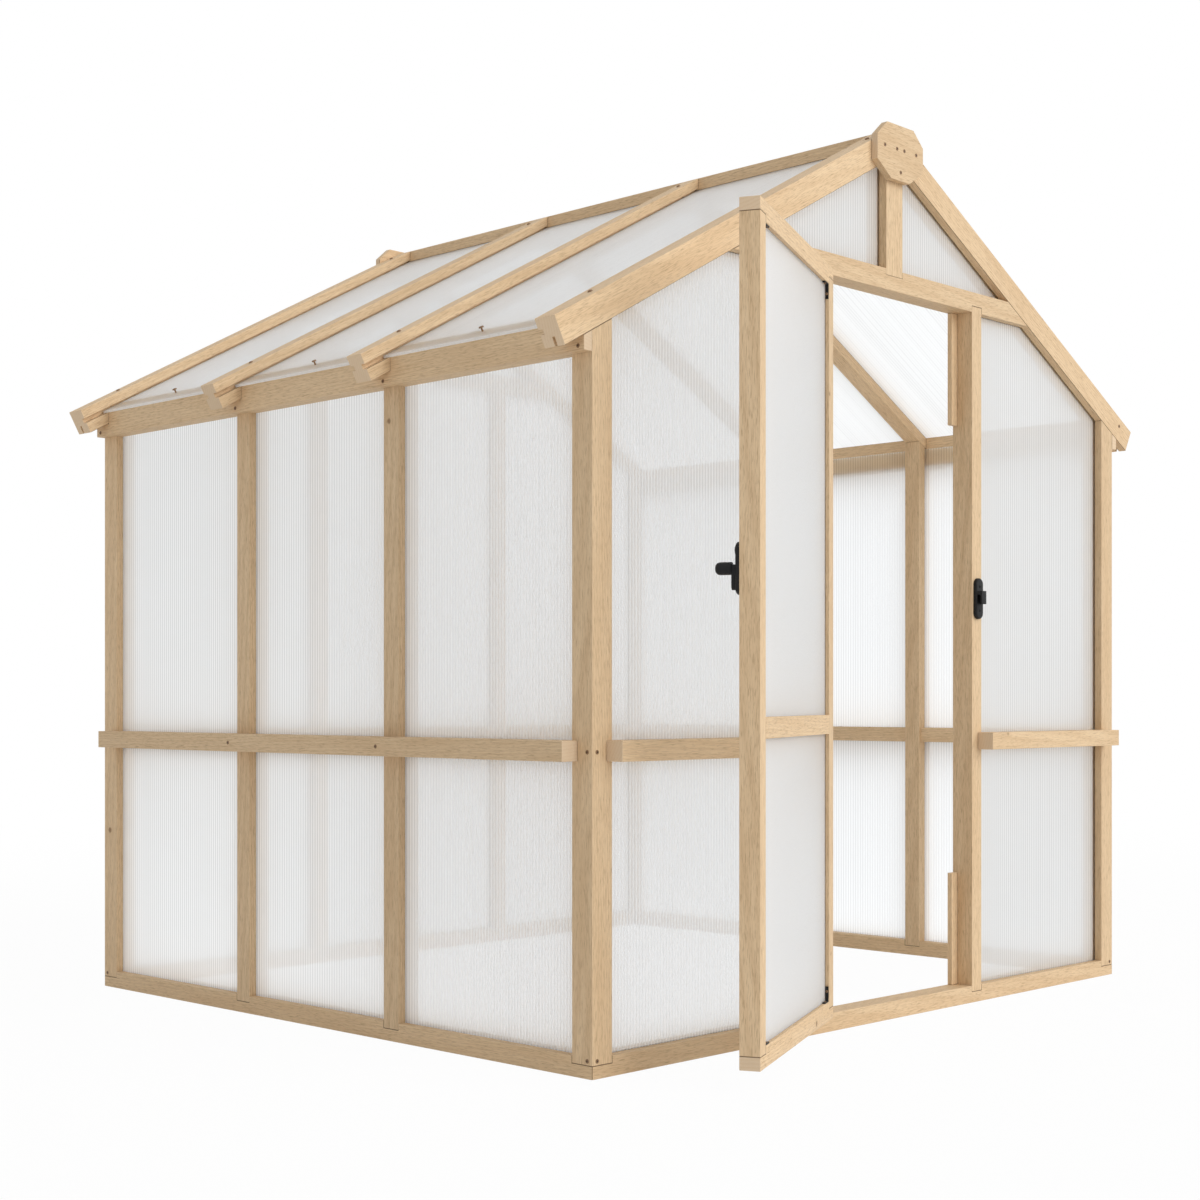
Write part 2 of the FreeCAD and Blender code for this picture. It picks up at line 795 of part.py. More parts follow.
def latch_keeper():
    x = opening_half + door_post_width / 2
    keeper = bevelled_plate(x)
    arm_half = latch_arm_width / 2
    web_start = latch_x + latch_arm_length + catch_end_clearance
    lip_back = latch_arm_face - catch_clearance
    lip_face = lip_back - catch_lip
    catch_low = latch_height - arm_half - catch_tail
    slot_top = latch_height + arm_half + catch_clearance
    catch_x = (x - latch_plate_width / 2 + latch_plate_bevel, web_start + catch_web)
    catch = block(catch_x, along(front, lip_face, latch_plate_face), (catch_low, slot_top + catch_top))
    slot = block((catch_x[0], web_start), along(front, lip_back, latch_plate_face), (catch_low, slot_top))
    return keeper.fuse(catch.cut(slot))


# Write the frame
for end in (front, back):
    end_name = end_names[end]
    export("base_rail_" + end_name, [base_rail_end(end)])
    export("transom_" + end_name, [transom(end)])
    export("king_post_" + end_name, [king_post(end)])
    export("gable_plate_" + end_name, [gable_plate(end)])
    export("wall_sheets_" + end_name, wall_sheets_end(end))
    export("gable_sheets_" + end_name, gable_sheets(end))
    for side in (left, right):
        corner_name = end_name + "_" + side_names[side]
        export("corner_post_" + corner_name, [corner_post(end, side)])
        export("rafter_" + corner_name, [gable_rafter(end, side)])

for side in (left, right):
    side_name = side_names[side]
    export("base_rail_" + side_name, [base_rail_side(side)])
    export("eave_beam_" + side_name, [eave_beam(side)])
    export("outer_rail_" + side_name, [outer_rail_side(side)])
    export("side_posts_" + side_name, [side_post(side, y_range) for y_range in side_post_ranges])
    export("mid_rafters_" + side_name, [mid_rafter(side, y_range) for y_range in side_post_ranges])
    export("mid_rails_" + side_name, [mid_rail_side(side, bay) for bay in side_bays])
    export("wall_sheets_" + side_name, wall_sheets_side(side))
    export("roof_sheets_" + side_name, roof_sheets(side))
    export("door_post_" + side_name, [opening_post(front, side)])

export("back_posts", [opening_post(back, side) for side in (left, right)])
export("ridge_board", [ridge_board()])
export("mid_rails_front", [mid_rail_end(front, end_bays[0]), mid_rail_end(front, end_bays[2])])
export("mid_rails_back", [mid_rail_end(back, bay) for bay in end_bays])
corner_x = half_width - corner_stop
export("outer_rail_back", [outer_rail_end(back, (-corner_x, corner_x))])
export("outer_rail_front_left", [outer_rail_end(front, (-corner_x, left_rail_end))])
export("outer_rail_front_right", [outer_rail_end(front, (door_post_outer - outer_rail_lap, corner_x))])
export("door_stops", door_stops())
export("latch_keeper", [latch_keeper()])

# Write the hinges: leaf and pins that stay on the post, leaf that swings with the door
outer_knuckles = [(0, knuckle), (2 * knuckle, 3 * knuckle)]
middle_knuckle = [(knuckle + hinge_knuckle_gap, 2 * knuckle - hinge_knuckle_gap)]
export("hinge_post_leaves", [hinge_leaf(level, -1, outer_knuckles) for level in hinge_levels])
export("hinge_pins", [hinge_pin(level) for level in hinge_levels])
export("hinge_door_leaves", [open_door(hinge_leaf(level, 1, middle_knuckle)) for level in hinge_levels])

# Write the door
hinge_stile_groove = (door_inner_left - groove_depth, door_inner_left)
latch_stile_groove = (door_inner_right, door_inner_right + groove_depth)
export("door_stile_hinge", [open_door(door_stile((door_left, door_inner_left), hinge_stile_groove))])
export("door_stile_latch", [open_door(door_stile((door_inner_right, door_right), latch_stile_groove))])
bottom_rail = door_end_rail((door_bottom, door_inner_bottom), door_inner_bottom, 1)
top_rail = door_end_rail((door_inner_top, door_top), door_inner_top, -1)
export("door_rail_bottom", [open_door(bottom_rail)])
export("door_rail_top", [open_door(top_rail)])
export("door_rail_mid", [open_door(door_mid_rail())])
export("door_sheets", [open_door(sheet) for sheet in door_sheets()])
export("door_corner_brackets", [open_door(bracket) for bracket in corner_brackets()])
export("latch_plate", [open_door(latch_plate())])
export("latch_knob", [open_door(latch_knob())])
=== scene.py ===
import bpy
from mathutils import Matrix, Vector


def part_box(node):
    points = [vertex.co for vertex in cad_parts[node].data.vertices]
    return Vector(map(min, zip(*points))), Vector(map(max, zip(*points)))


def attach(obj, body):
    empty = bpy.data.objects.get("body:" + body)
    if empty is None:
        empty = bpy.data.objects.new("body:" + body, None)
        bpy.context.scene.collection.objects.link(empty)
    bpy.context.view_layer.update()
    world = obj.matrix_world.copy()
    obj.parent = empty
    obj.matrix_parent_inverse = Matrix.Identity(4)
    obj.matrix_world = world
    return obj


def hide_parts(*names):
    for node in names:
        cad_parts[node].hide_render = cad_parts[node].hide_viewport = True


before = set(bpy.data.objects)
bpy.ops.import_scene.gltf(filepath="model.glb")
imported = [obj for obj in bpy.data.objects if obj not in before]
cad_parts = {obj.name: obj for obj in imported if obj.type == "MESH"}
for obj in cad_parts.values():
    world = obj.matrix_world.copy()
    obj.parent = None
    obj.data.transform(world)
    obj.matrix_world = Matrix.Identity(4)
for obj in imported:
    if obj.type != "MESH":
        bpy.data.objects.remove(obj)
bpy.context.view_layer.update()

import math
import random

import bmesh
import bpy
from mathutils import Matrix, Vector
from mathutils.bvhtree import BVHTree


# Base rails: four planed softwood rails that lie on the ground, mitred at the corners.
# Every post is let into them, and the lower sheets stand in a groove along their tops.
# Their edges are eased with a plane, as on every timber of the house.
class Value:
    """An output socket of a material, with the operators that add Math nodes."""

    def __init__(self, tree, socket):
        self.tree = tree
        self.socket = socket

    def maths(self, operation, *others):
        """What a Math node makes of this value and any others."""
        node = self.tree.nodes.new("ShaderNodeMath")
        node.operation = operation
        for place, other in zip(node.inputs, (self, *others)):
            if isinstance(other, Value):
                self.tree.links.new(other.socket, place)
            else:
                place.default_value = other
        return Value(self.tree, node.outputs[0])

    def __add__(self, other):
        return self.maths("ADD", other)

    def __radd__(self, other):
        return self.maths("ADD", other)

    def __sub__(self, other):
        return self.maths("SUBTRACT", other)

    def __rsub__(self, other):
        return self.maths("MULTIPLY", -1.0) + other

    def __mul__(self, other):
        return self.maths("MULTIPLY", other)

    def __rmul__(self, other):
        return self.maths("MULTIPLY", other)

    def __pow__(self, other):
        return self.maths("POWER", other)


class Finish:
    """A material, or the world, with one method for every node that isn't plain maths."""

    def __init__(self, name, world=None):
        self.owner = world or bpy.data.materials.new(name)
        self.owner.use_nodes = True
        self.tree = self.owner.node_tree
        self.tree.nodes.clear()
        self.output = self.tree.nodes.new("ShaderNodeOutput" + ("World" if world else "Material"))

    def node(self, kind, settings=None, sockets=None, output=0):
        """One output of a new node: settings first, then the values or links of its sockets."""
        node = self.tree.nodes.new("ShaderNode" + kind)
        for name, setting in (settings or {}).items():
            setattr(node, name, setting)
        for place, value in (sockets or {}).items():
            if isinstance(value, Value):
                self.tree.links.new(value.socket, node.inputs[place])
            else:
                node.inputs[place].default_value = value
        return Value(self.tree, node.outputs[output])

    def attribute(self, name, output="Fac"):
        return self.node("Attribute", {"attribute_name": name}, output=output)

    def noise(self, vector, scale=1.0, detail=2.0, roughness=0.5):
        sockets = {"Vector": vector, "Scale": scale, "Detail": detail, "Roughness": roughness}
        return self.node("TexNoise", {"noise_dimensions": "3D"}, sockets)

    def step(self, value, low, high):
        """0 below low, 1 above high and smooth between them."""
        sockets = {"Value": value, "From Min": low, "From Max": high, "To Min": 0.0, "To Max": 1.0}
        return self.node("MapRange", {"interpolation_type": "SMOOTHSTEP"}, sockets)

    def blend(self, share, first, second):
        """A colour between two colours."""
        return self.node("Mix", {"data_type": "RGBA"}, {0: share, 6: first, 7: second}, output=2)

    def times(self, share, colour, by):
        """A colour multiplied by another."""
        settings = {"data_type": "RGBA", "blend_type": "MULTIPLY"}
        return self.node("Mix", settings, {0: share, 6: colour, 7: by}, output=2)

    def bump(self, height, strength, distance):
        return self.node("Bump", sockets={"Height": height, "Strength": strength, "Distance": distance})

    def show(self, shader):
        self.tree.links.new(shader.socket, self.output.inputs["Surface"])
        return self.owner


def planed_softwood():
    """Pale planed softwood: rings cut at a slant, fine fibres, short flecks, a few small knots, and
    painted shade in the seams.
    """
    finish = Finish("planed_softwood")
    place = finish.attribute("grain_place", "Vector")
    along, side, up = (finish.node("SeparateXYZ", sockets={0: place}, output=axis) for axis in "XYZ")
    tone = finish.attribute("timber_tone")
    end = finish.attribute("end_face")
    eased = finish.attribute("eased_edge")
    seam_shade = finish.attribute("seam_shade")

    def streaks(along_grain, over_grain, detail, roughness=0.5):
        """Noise drawn out along the grain, with its counts to the metre along and over it."""
        drawn_out = {"X": along * along_grain, "Y": side * over_grain, "Z": up * over_grain}
        return finish.noise(finish.node("CombineXYZ", sockets=drawn_out), 1.0, detail, roughness)

    ring_width = 0.0072
    ring_waver = 0.016
    side_lean = 0.021
    up_lean = 0.013
    wander = streaks(1.6, 11.0, 3.0) - 0.5
    from_side = side + along * side_lean
    from_up = up - along * up_lean
    from_pith = (from_side * from_side + from_up * from_up) ** 0.5 + wander * ring_waver
    ring = (from_pith * (2 * math.pi / ring_width)).maths("SINE") * 0.5 + 0.5
    latewood = ring ** 2.2
    fibre = streaks(10.0, 460.0, 4.0, 0.6)
    cloud = streaks(2.4, 18.0, 2.0)
    dash = streaks(48.0, 520.0, 1.0)
    pore = streaks(42.0, 760.0, 1.0)
    fleck = finish.step(dash, 0.55, 0.68) * 0.30 + finish.step(pore, 0.55, 0.68) * 0.36
    knot_cell = finish.node("TexVoronoi", {"feature": "F1"}, {"Vector": place, "Scale": 6.5})
    knot_edge = finish.noise(place, scale=160.0)
    knot_reach = knot_cell + (knot_edge - 0.5) * 0.03
    knot = 1.0 - finish.step(knot_reach, 0.028, 0.060)
    halo = 1.0 - finish.step(knot_reach, 0.05, 0.16)
    pale = (0.830, 0.618, 0.385, 1.0)
    band = (0.665, 0.458, 0.260, 1.0)
    warm = (0.718, 0.500, 0.286, 1.0)
    dark_fleck = (0.380, 0.235, 0.118, 1.0)
    knot_brown = (0.270, 0.145, 0.065, 1.0)
    end_pale = (0.790, 0.612, 0.430, 1.0)
    eased_pale = (0.830, 0.640, 0.430, 1.0)
    seam_shade_brown = (0.180, 0.108, 0.055, 1.0)
    colour = finish.blend(latewood * 0.40, pale, band)
    colour = finish.blend(finish.step(cloud, 0.40, 0.72) * 0.55, colour, warm)
    colour = finish.blend(finish.step(fibre, 0.42, 0.70) * 0.60, colour, band)
    colour = finish.blend(fleck * (1.0 - end * 0.6), colour, dark_fleck)
    colour = finish.blend(halo * 0.30, colour, band)
    colour = finish.blend(knot * 0.85, colour, knot_brown)
    colour = finish.blend(end * (0.80 - latewood * 0.30), colour, end_pale)
    colour = finish.blend(eased * 0.15, colour, eased_pale)
    # Painted shade: eased edges that lie against another timber or a sheet are darkened, as if shade fell
    # in the joint.
    colour = finish.blend(seam_shade * 0.80, colour, seam_shade_brown)
    shade = finish.node("CombineColor", sockets={0: tone, 1: tone, 2: tone})
    colour = finish.times(1.0, colour, shade)
    height = fibre * 0.6 + latewood * 0.3 - fleck * 0.8
    normal = finish.bump(height, 0.30, 0.0006)
    sockets = {
        "Base Color": colour,
        "Roughness": 0.50 + fibre * 0.16 + end * 0.12,
        "Normal": normal,
        "Specular IOR Level": 0.35,
    }
    return finish.show(finish.node("BsdfPrincipled", sockets=sockets))


softwood = planed_softwood()
eased_width = 0.0011
merge_distance = 0.00002


def islands(shell):
    """Groups of joined vertices, one for each separate timber in a node."""
    waiting = set(shell.verts)
    groups = []
    while waiting:
        group = []
        edge_of_group = [waiting.pop()]
        while edge_of_group:
            vertex = edge_of_group.pop()
            group.append(vertex)
            for edge in vertex.link_edges:
                other = edge.other_vert(vertex)
                if other in waiting:
                    waiting.remove(other)
                    edge_of_group.append(other)
        groups.append(group)
    groups.sort(key=lambda group: tuple(round(min(v.co[axis] for v in group), 4) for axis in range(3)))
    return groups


def merged_copy(node):
    """A closed copy of a CAD node with its flat faces whole again."""
    shell = bmesh.new()
    shell.from_mesh(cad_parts[node].data)
    bmesh.ops.remove_doubles(shell, verts=shell.verts, dist=merge_distance)
    flat = math.radians(0.5)
    bmesh.ops.dissolve_limit(shell, angle_limit=flat, verts=shell.verts, edges=shell.edges)
    return shell


def ease_edges(shell, corner, width, segments):
    """Round the edges that turn by more than a corner's angle and return the new faces there."""
    sharp = [e for e in shell.edges if len(e.link_faces) == 2 and e.calc_face_angle(0.0) > corner]
    rounded = bmesh.ops.bevel(
        shell, geom=sharp, offset=width, offset_type="OFFSET", segments=segments, profile=0.5,
        affect="EDGES", clamp_overlap=True,
    )
    return rounded["faces"]


surfaces = {}
for name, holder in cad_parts.items():
    corners = [vertex.co for vertex in holder.data.vertices]
    surfaces[name] = BVHTree.FromPolygons(corners, [face.vertices for face in holder.data.polygons])
seam_reach = 0.0014


def beside(node):
    """The surfaces of the nodes whose boxes come within reach of a node's own."""
    low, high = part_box(node)
    found = []
    for other, surface in surfaces.items():
        other_low, other_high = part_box(other)
        near = all(
            other_low[axis] < high[axis] + seam_reach and other_high[axis] > low[axis] - seam_reach
            for axis in range(3)
        )
        if near and other != node:
            found.append(surface)
    return found


def dress_timber(node, grain, body="frame"):
    """Ease a timber's edges, mark its grain and the painted shade along its seams and let it stand for
    the CAD node.
    """
    draw = random.Random("timber " + node)
    shell = merged_copy(node)
    grain_layer = shell.verts.layers.float_vector.new("grain_place")
    tone_layer = shell.verts.layers.float.new("timber_tone")
    end_layer = shell.faces.layers.float.new("end_face")
    eased_layer = shell.faces.layers.float.new("eased_edge")
    seam_shade_layer = shell.faces.layers.float.new("seam_shade")
    eased = ease_edges(shell, math.radians(25), eased_width, segments=2)
    grain = Vector(grain).normalized()
    side = grain.orthogonal().normalized()
    up = grain.cross(side)
    for group in islands(shell):
        middle = sum((v.co for v in group), Vector()) / len(group)
        start = draw.uniform(5.0, 60.0)
        pith = Vector((draw.uniform(-0.06, 0.06), draw.choice((-1, 1)) * draw.uniform(0.02, 0.08)))
        tone = draw.uniform(0.93, 1.04)
        for vertex in group:
            out = vertex.co - middle
            vertex[grain_layer] = (out.dot(grain) + start, out.dot(side) + pith[0], out.dot(up) + pith[1])
            vertex[tone_layer] = tone
    end_limit = 0.80
    for face in shell.faces:
        face[end_layer] = 1.0 if abs(face.normal.dot(grain)) > end_limit else 0.0
    neighbours = beside(node)
    # Eased faces within reach of another piece take the painted shade of a seam.
    for face in eased:
        face[eased_layer] = 1.0
        middle = face.calc_center_median()
        if any(surface.find_nearest(middle, seam_reach)[0] is not None for surface in neighbours):
            face[seam_shade_layer] = 1.0
    mesh = bpy.data.meshes.new(node + "_planed")
    shell.to_mesh(mesh)
    shell.free()
    mesh.materials.append(softwood)
    piece = bpy.data.objects.new(node + "_planed", mesh)
    bpy.context.scene.collection.objects.link(piece)
    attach(piece, body)
    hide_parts(node)


along_x = (1, 0, 0)
along_y = (0, 1, 0)
upright = (0, 0, 1)
dress_timber("base_rail_front", along_x)
dress_timber("base_rail_back", along_x)
dress_timber("base_rail_left", along_y)
dress_timber("base_rail_right", along_y)

# Posts: corner posts, side posts under the inner rafters, the two beside the doorway and the
# two in the back wall. All are planed softwood let into the base rails, and their tops are cut
# to the slope of the rafters or let into the transoms.
for end_name in ("front", "back"):
    for side_name in ("left", "right"):
        dress_timber("corner_post_" + end_name + "_" + side_name, upright)
for side_name in ("left", "right"):
    dress_timber("side_posts_" + side_name, upright)
    dress_timber("door_post_" + side_name, upright)
dress_timber("back_posts", upright)

# Transoms and king posts: a softwood beam across each end wall, with a short post let into it
# that carries the ridge. The transoms' ends are cut to the underside of the rafters.
for end_name in ("front", "back"):
    dress_timber("transom_" + end_name, along_x)
    dress_timber("king_post_" + end_name, upright)

# Middle rails: softwood rails between the posts with tongues in their grooves, and outer rails
# that are screwed on outside the posts and stop short of the corners.
for side_name in ("left", "right"):
    dress_timber("mid_rails_" + side_name, along_y)
    dress_timber("outer_rail_" + side_name, along_y)
dress_timber("mid_rails_front", along_x)
dress_timber("mid_rails_back", along_x)
dress_timber("outer_rail_front_left", along_x)
dress_timber("outer_rail_front_right", along_x)
dress_timber("outer_rail_back", along_x)

# Roof timbers: rafters that butt against a ridge board, eave beams notched round the posts
# under them, and an eight-sided plate over the peak of each gable. All are planed softwood.
roof_pitch = math.radians(28.35)
up_left_slope = (math.cos(roof_pitch), 0, math.sin(roof_pitch))
up_right_slope = (-math.cos(roof_pitch), 0, math.sin(roof_pitch))
for side_name, up_slope in (("left", up_left_slope), ("right", up_right_slope)):
    dress_timber("rafter_front_" + side_name, up_slope)
    dress_timber("rafter_back_" + side_name, up_slope)
    dress_timber("mid_rafters_" + side_name, up_slope)
    dress_timber("eave_beam_" + side_name, along_y)
dress_timber("ridge_board", along_y)
dress_timber("gable_plate_front", along_x)
dress_timber("gable_plate_back", along_x)

# Door timbers: two softwood stiles let into a top and a bottom rail, with a middle rail between
# them. The door stands open on its hinges, so its rails run at a slant to the house.
door_open_angle = math.radians(-155)
along_door = (math.cos(door_open_angle), math.sin(door_open_angle), 0)
dress_timber("door_stile_hinge", upright, "door")
dress_timber("door_stile_latch", upright, "door")
dress_timber("door_rail_top", along_door, "door")
dress_timber("door_rail_mid", along_door, "door")
dress_timber("door_rail_bottom", along_door, "door")

# Door stops: two short softwood battens fixed inside the latch-side post, one at the foot and
# one at the head, which the closed door comes to rest against.
dress_timber("door_stops", upright)


# Wall sheets: extruded twin-wall plastic, a milky and a clear skin joined by ribs that run upright
# and leave a shallow sink line in each face. They are cut to each bay and pushed into the grooves
# of the timbers round it.
rib_pitch = 0.0091
sink_depth = 0.00015


def milky_twin_wall():
    """Milky plastic, grey at its ribs and clearest in the channels between them."""
    finish = Finish("milky_twin_wall")
    place = finish.attribute("rib_place")
    show = finish.attribute("rib_show")
    milky_skin = finish.attribute("milky_skin")
    milkiness = finish.attribute("milkiness")
    number = place.maths("FLOOR")
    from_rib = (place - number - 0.5).maths("ABSOLUTE")
    lot = finish.node("TexWhiteNoise", {"noise_dimensions": "1D"}, {"W": number * 0.731})
    rib = 1.0 - finish.step(from_rib, 0.10, 0.34)
    line = rib * (0.55 + lot * 0.45) * show
    channel = 1.0 - rib
    spot = finish.node("TexCoord", output="Object")
    cloud = finish.step(finish.noise(spot, scale=2.2, detail=2.0), 0.35, 0.75)
    grain = finish.noise(spot, scale=900.0, detail=1.0)
    milk = (0.950, 0.962, 0.972, 1.0)
    rib_grey = (0.700, 0.715, 0.730, 1.0)
    daylight = (0.967, 0.986, 1.0, 1.0)
    no_tint = (1.0, 1.0, 1.0, 1.0)
    skin_sockets = {
        "Base Color": finish.blend(line, milk, rib_grey),
        "Roughness": 0.22 + grain * 0.12,
        "Normal": finish.bump(grain, 0.10, 0.0002),
    }
    skin = finish.node("BsdfPrincipled", sockets=skin_sockets)
    through = finish.node("BsdfTranslucent", sockets={"Color": daylight})
    clear = finish.node("BsdfTransparent", sockets={"Color": no_tint})
    passed = 0.992 - cloud * 0.008 - line * 0.18 - milkiness * 0.32
    milky = finish.node("MixShader", sockets={0: passed, 1: skin, 2: through})
    cleared = 0.995 - milky_skin * (0.985 - channel * (1.0 - milkiness) * 0.22)
    return finish.show(finish.node("MixShader", sockets={0: cleared, 1: milky, 2: clear}))


milky_sheet = milky_twin_wall()


class Growth:
    """A Geometry Nodes tree with named inputs for its sizes and its material."""

    def __init__(self, name, sizes, from_places=False):
        self.tree = bpy.data.node_groups.new(name, "GeometryNodeTree")
        given = [("Places", "Geometry")] if from_places else []
        given += [(size, "Float") for size in sizes] + [("Material", "Material")]
        for given_name, kind in given:
            self.tree.interface.new_socket(given_name, in_out="INPUT", socket_type="NodeSocket" + kind)
        self.tree.interface.new_socket("Geometry", in_out="OUTPUT", socket_type="NodeSocketGeometry")
        self.given = self.tree.nodes.new("NodeGroupInput").outputs

    def node(self, kind, settings=None, sockets=None):
        """The outputs of a new node: settings first, then the values or links of its sockets."""
        node = self.tree.nodes.new(kind)
        for name, setting in (settings or {}).items():
            setattr(node, name, setting)
        for place, value in (sockets or {}).items():
            if isinstance(value, bpy.types.NodeSocket):
                self.tree.links.new(value, node.inputs[place])
            else:
                node.inputs[place].default_value = value
        return node.outputs

    def maths(self, operation, first, second=0.0):
        return self.node("ShaderNodeMath", {"operation": operation}, {0: first, 1: second})[0]

    def vector(self, x=0.0, y=0.0, z=0.0):
        return self.node("ShaderNodeCombineXYZ", None, {"X": x, "Y": y, "Z": z})[0]

    def marked(self, geometry, name, domain, value):
        """The geometry with an attribute for its finish to read."""
        settings = {"data_type": "FLOAT", "domain": domain}
        sockets = {"Geometry": geometry, "Name": name, "Value": value}
        return self.node("GeometryNodeStoreNamedAttribute", settings, sockets)[0]

    def joined(self, *parts):
        whole = self.node("GeometryNodeJoinGeometry")["Geometry"]
        for part in parts:
            self.tree.links.new(part, whole.node.inputs[0])
        return whole

    def finished(self, geometry):
        """The tree, ended by real geometry in the given material."""
        solid = self.node("GeometryNodeRealizeInstances", None, {"Geometry": geometry})[0]
        sockets = {"Geometry": solid, "Material": self.given["Material"]}
        dressed = self.node("GeometryNodeSetMaterial", None, sockets)[0]
        self.tree.links.new(dressed, self.tree.nodes.new("NodeGroupOutput").inputs[0])
        return self.tree


def twin_wall_tree():
    """Geometry Nodes: one sheet in its own plane, X across the ribs, Z along them, Y through it."""
    sizes = ("Width", "First Height", "Slope", "Full Height", "Thickness", "Rib Pitch", "Sink Depth")
    growth = Growth("twin_wall_sheet", sizes)
    given = growth.given
    maths = growth.maths
    columns_to_a_rib = 4.0
    least_height = 0.0005
    weld_distance = 0.00001
    half_rib_share = 0.1
    ribs = maths("ROUND", maths("DIVIDE", given["Width"], given["Rib Pitch"]))
    columns = maths("MULTIPLY", ribs, columns_to_a_rib)
    position = growth.node("GeometryNodeInputPosition")[0]
    place = growth.node("ShaderNodeSeparateXYZ", None, {0: position})
    across = maths("ADD", place["X"], maths("MULTIPLY", given["Width"], 0.5))
    rising = maths("ADD", maths("MULTIPLY", across, given["Slope"]), given["First Height"])
    height = maths("MAXIMUM", maths("MINIMUM", rising, given["Full Height"]), least_height)
    plane = growth.node("GeometryNodeMeshGrid", None, {
        "Size X": given["Width"], "Size Y": 1.0,
        "Vertices X": maths("ADD", columns, 1.0), "Vertices Y": 2,
    })["Mesh"]
    half = maths("MULTIPLY", given["Thickness"], 0.5)
    level = maths("MULTIPLY", maths("ADD", place["Y"], 0.5), height)
    shaped = growth.node("GeometryNodeSetPosition", None, {
        "Geometry": plane, "Position": growth.vector(across, half, level),
    })[0]
    raised = growth.node("GeometryNodeExtrudeMesh", {"mode": "FACES"}, {
        "Mesh": shaped, "Offset Scale": given["Thickness"], "Individual": False,
    })[0]
    turned = growth.node("GeometryNodeFlipFaces", None, {"Mesh": shaped})[0]
    closed = growth.node("GeometryNodeMergeByDistance", None, {
        "Geometry": growth.joined(raised, turned), "Distance": weld_distance,
    })[0]
    rib_count = maths("DIVIDE", place["X"], given["Rib Pitch"])
    off_rib = maths("ABSOLUTE", maths("SUBTRACT", rib_count, maths("ROUND", rib_count)))
    on_rib = maths("LESS_THAN", off_rib, half_rib_share)
    inward = maths("MULTIPLY", maths("SIGN", place["Y"]), -1.0)
    sink = maths("MULTIPLY", maths("MULTIPLY", on_rib, given["Sink Depth"]), inward)
    sunk = growth.node("GeometryNodeSetPosition", None, {
        "Geometry": closed, "Offset": growth.vector(y=sink),
    })[0]
    counted = growth.marked(sunk, "rib_place", "POINT", maths("ADD", rib_count, 0.5))
    not_behind = maths("GREATER_THAN", place["Y"], maths("MULTIPLY", half, -0.5))
    return growth.finished(growth.marked(counted, "milky_skin", "FACE", not_behind))


sheet_tree = twin_wall_tree()


def grown(tree, inputs, places=()):
    """The plain mesh that a Geometry Nodes tree makes, from (point, facing) places if it needs any."""
    seed_mesh = bpy.data.meshes.new("seed")
    seed_mesh.from_pydata([point for point, facing in places], [], [])
    facings = seed_mesh.attributes.new("facing", "FLOAT_VECTOR", "POINT")
    for item, (point, facing) in zip(facings.data, places):
        item.vector = facing
    holder = bpy.data.objects.new("holder", seed_mesh)
    bpy.context.scene.collection.objects.link(holder)
    modifier = holder.modifiers.new("grow", "NODES")
    modifier.node_group = tree
    for item in tree.interface.items_tree:
        if item.item_type == "SOCKET" and item.in_out == "INPUT" and item.name in inputs:
            modifier[item.identifier] = inputs[item.name]
    seen = holder.evaluated_get(bpy.context.evaluated_depsgraph_get())
    mesh = bpy.data.meshes.new_from_object(seen)
    holder.modifiers.remove(modifier)
    bpy.data.objects.remove(holder)
    bpy.data.meshes.remove(seed_mesh)
    return mesh


def dress_sheets(node, across, along_ribs, rib_show, body="frame", milkiness=0.0):
    """Grow each twin-wall sheet of a CAD node in its place and let it stand for the node."""
    across = Vector(across).normalized()
    along_ribs = Vector(along_ribs).normalized()
    through = along_ribs.cross(across)
    turn = Matrix((across, through, along_ribs)).transposed().to_4x4()
    shell = merged_copy(node)
    joined = bmesh.new()
    slack = 0.0001
    for group in islands(shell):
        corners = [turn.inverted() @ v.co for v in group]
        low = [min(c[axis] for c in corners) for axis in range(3)]
        high = [max(c[axis] for c in corners) for axis in range(3)]
        width = high[0] - low[0]
        full = high[2] - low[2]
        left_height = max(c[2] for c in corners if c[0] < low[0] + slack) - low[2]
        right_height = max(c[2] for c in corners if c[0] > high[0] - slack) - low[2]
        slope = 0.0
        if left_height < full - slack:
            slope = math.tan(roof_pitch)
        elif right_height < full - slack:
            slope = -math.tan(roof_pitch)
        first = left_height if slope >= 0 else right_height - slope * width
        sizes = {
            "Width": width, "First Height": first, "Slope": slope, "Full Height": full,
            "Thickness": high[1] - low[1], "Rib Pitch": width / round(width / rib_pitch),
            "Sink Depth": sink_depth, "Material": milky_sheet,
        }
        sheet = grown(sheet_tree, sizes)
        corner = Vector((low[0], (low[1] + high[1]) / 2, low[2]))
        sheet.transform(turn @ Matrix.Translation(corner))
        joined.from_mesh(sheet)
        bpy.data.meshes.remove(sheet)
    shell.free()
    show_layer = joined.verts.layers.float.new("rib_show")
    milk_layer = joined.verts.layers.float.new("milkiness")
    for vertex in joined.verts:
        vertex[show_layer] = rib_show
        vertex[milk_layer] = milkiness
    mesh = bpy.data.meshes.new(node + "_twin_wall")
    joined.to_mesh(mesh)
    joined.free()
    mesh.materials.append(milky_sheet)
    piece = bpy.data.objects.new(node + "_twin_wall", mesh)
    bpy.context.scene.collection.objects.link(piece)
    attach(piece, body)
    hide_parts(node)


wall_ribs = 0.9
dress_sheets("wall_sheets_front", along_x, upright, wall_ribs)
dress_sheets("wall_sheets_back", along_x, upright, wall_ribs)
dress_sheets("wall_sheets_left", along_y, upright, wall_ribs)
dress_sheets("wall_sheets_right", along_y, upright, wall_ribs)

# Gable sheets: triangles of the same twin-wall plastic on each side of the king posts, with
# their ribs upright, held in the transom's groove and the rafters' slots.
gable_ribs = 1.4
dress_sheets("gable_sheets_front", along_x, upright, gable_ribs)
dress_sheets("gable_sheets_back", along_x, upright, gable_ribs)

